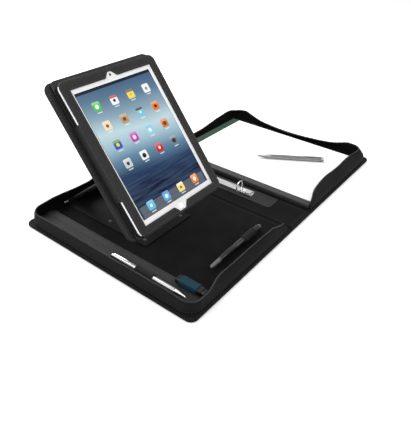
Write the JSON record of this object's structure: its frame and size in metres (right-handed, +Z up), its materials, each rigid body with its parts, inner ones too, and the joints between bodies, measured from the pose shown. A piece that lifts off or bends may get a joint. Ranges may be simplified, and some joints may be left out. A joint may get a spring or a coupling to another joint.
{
  "type": "tablet organiser portfolio",
  "caption": "Zip-around A4 portfolio, open flat, with a touch-screen tablet on a folding, turning stand, a notepad, ring mechanism, pens, stylus and memory stick.",
  "frame": {"origin": "on the table at the centre of the spine board, at the middle of the open portfolio", "axes": "+X across the open halves from the tablet half to the notepad half, +Y away from the reader, +Z up"},
  "size_m": [0.5932, 0.3496, 0.2469],
  "materials": {
    "cover_fabric": "woven black ballistic cloth",
    "grey_leather": "grained charcoal leatherette",
    "black_leather": "grained black leatherette",
    "lining_cloth": "brushed black lining",
    "elastic": "ribbed black elastic",
    "blue_elastic": "blue woven band",
    "zip_metal": "dark nickel",
    "steel": "satin",
    "chrome": "polished",
    "black_plastic": "matt",
    "silver_barrel": "satin silver",
    "tablet_shell": "fine satin",
    "tablet_glass": "clear gloss over a white border",
    "display": "lit panel",
    "battery_foil": "foil pouch",
    "circuit": "solder mask",
    "white_key": "gloss white",
    "paper": "uncoated white paper",
    "card": "grey board",
    "green_cloth": "bookbinding cloth"
  },
  "bodies": {
    "tray": {"left_cover_board": "cover_fabric", "left_lining": "lining_cloth", "left_gusset": "cover_fabric", "left_zip_teeth": "zip_metal", "organiser_strip": "grey_leather", "pen_loop": "elastic", "stylus_loop": "elastic", "usb_loop": "blue_elastic", "stand_base": "black_plastic", "stand_rod": "steel"},
    "spine": {"spine_board": "cover_fabric", "spine_lining": "lining_cloth", "ring_backing": "black_leather", "ring_rail": "chrome"},
    "cover": {"right_cover_board": "cover_fabric", "right_lining": "lining_cloth", "right_gusset": "cover_fabric", "right_zip_teeth": "zip_metal", "pad_pocket": "grey_leather"},
    "notepad": {"pad_backing": "card", "pad_pages": "paper", "pad_header": "green_cloth"},
    "desk_pen": {"desk_pen": "silver_barrel", "desk_pen_clip": "chrome"},
    "ring_lever": {"ring_lever": "chrome"},
    "ring_left": {"ring_half_left": "chrome"},
    "ring_right": {"ring_half_right": "chrome"},
    "stand_leaf": {"stand_leaf": "black_plastic"},
    "bracket": {"holder_bracket": "black_plastic", "leaf_pin": "steel"},
    "holder": {"hub_disc": "black_plastic", "hub_cap": "steel", "holder_back": "black_leather", "holder_shell": "black_plastic", "holder_frame": "black_leather", "tablet_case": "tablet_shell", "front_glass": "tablet_glass", "display_panel": "display", "battery_left": "battery_foil", "battery_right": "battery_foil", "logic_board": "circuit", "front_camera": "black_plastic", "dock_connector": "steel"},
    "home_button": {"home_button": "white_key"},
    "power_button": {"power_button": "tablet_shell"},
    "volume_rocker": {"volume_rocker": "tablet_shell"},
    "mute_switch": {"mute_switch": "tablet_shell"},
    "silver_pen": {"silver_pen": "silver_barrel", "silver_pen_clip": "chrome"},
    "stylus": {"stylus": "black_plastic"},
    "usb_stick": {"usb_stick": "black_plastic", "usb_cap": "black_plastic"},
    "zip_slider": {"zip_slider": "zip_metal"},
    "zip_pull": {"zip_pull": "zip_metal"}
  },
  "joints": [
    {"name": "spine_fold", "type": "hinge", "parent": "tray", "child": "spine", "pos_m": [-0.034, 0, 0.002], "axis": [0, -1, 0], "range_deg": [0, 90]},
    {"name": "cover_fold", "type": "hinge", "parent": "spine", "child": "cover", "pos_m": [0.034, 0, 0.002], "axis": [0, -1, 0], "range_deg": [0, 90]},
    {"name": "notepad_slide", "type": "slide", "parent": "cover", "child": "notepad", "axis": [1, 0, 0], "range_m": [0, 0.0135]},
    {"name": "desk_pen_lift", "type": "slide", "parent": "notepad", "child": "desk_pen", "axis": [0, 0, -1], "range_m": [-0.05, 0]},
    {"name": "ring_lever_press", "type": "hinge", "parent": "spine", "child": "ring_lever", "pos_m": [0.01, -0.056, 0.009], "axis": [-1, 0, 0], "range_deg": [-15, 0]},
    {"name": "ring_left_open", "type": "hinge", "parent": "spine", "child": "ring_left", "pos_m": [0.0038, 0, 0.009], "axis": [0, 1, 0], "range_deg": [-15, 0]},
    {"name": "ring_right_open", "type": "hinge", "parent": "spine", "child": "ring_right", "pos_m": [0.0162, 0, 0.009], "axis": [0, -1, 0], "range_deg": [-15, 0]},
    {"name": "stand_fold", "type": "hinge", "parent": "tray", "child": "stand_leaf", "pos_m": [-0.1657, 0.162, 0.012], "axis": [1, 0, 0], "range_deg": [0, 39.09]},
    {"name": "holder_tilt", "type": "hinge", "parent": "stand_leaf", "child": "bracket", "pos_m": [-0.1657, 0.03074, 0.11864], "axis": [-1, 0, 0], "range_deg": [0, 90.74]},
    {"name": "tablet_turn", "type": "hinge", "parent": "bracket", "child": "holder", "pos_m": [-0.1657, 0.03688, 0.13929], "axis": [0, -0.7841, 0.6206], "range_deg": [-90, 0]},
    {"name": "home_press", "type": "slide", "parent": "holder", "child": "home_button", "axis": [0, 0.7841, -0.6206], "range_m": [0, 0.0004], "stiffness_N_per_m": 600, "springref_m": -0.0002},
    {"name": "power_press", "type": "slide", "parent": "holder", "child": "power_button", "axis": [0, -0.6206, -0.7841], "range_m": [0, 0.0004], "stiffness_N_per_m": 600, "springref_m": -0.0002},
    {"name": "volume_rock", "type": "hinge", "parent": "holder", "child": "volume_rocker", "pos_m": [-0.07345, 0.07741, 0.21434], "axis": [0, -0.7841, 0.6206], "range_deg": [-1.5, 1.5], "stiffness_Nm_per_rad": 0.02},
    {"name": "mute_slide", "type": "slide", "parent": "holder", "child": "mute_switch", "axis": [0, 0.6206, 0.7841], "range_m": [-0.0015, 0]},
    {"name": "silver_pen_slide", "type": "slide", "parent": "tray", "child": "silver_pen", "axis": [0, -1, 0], "range_m": [-0.1, 0]},
    {"name": "stylus_slide", "type": "slide", "parent": "tray", "child": "stylus", "axis": [-1, 0, 0], "range_m": [-0.05, 0]},
    {"name": "usb_slide", "type": "slide", "parent": "tray", "child": "usb_stick", "axis": [0, -1, 0], "range_m": [-0.04, 0]},
    {"name": "zip_slide", "type": "slide", "parent": "tray", "child": "zip_slider", "axis": [1, 0, 0], "range_m": [-0.19, 0]},
    {"name": "zip_pull_swing", "type": "hinge", "parent": "zip_slider", "child": "zip_pull", "pos_m": [-0.05, 0.173, 0.0318], "axis": [-1, 0, 0], "range_deg": [-85, 0]}
  ],
  "couplings": [
    {"joint": "holder_tilt", "follows": "stand_fold", "ratio": 2.321},
    {"joint": "ring_left_open", "follows": "ring_lever_press", "ratio": 1},
    {"joint": "ring_right_open", "follows": "ring_lever_press", "ratio": 1}
  ]
}
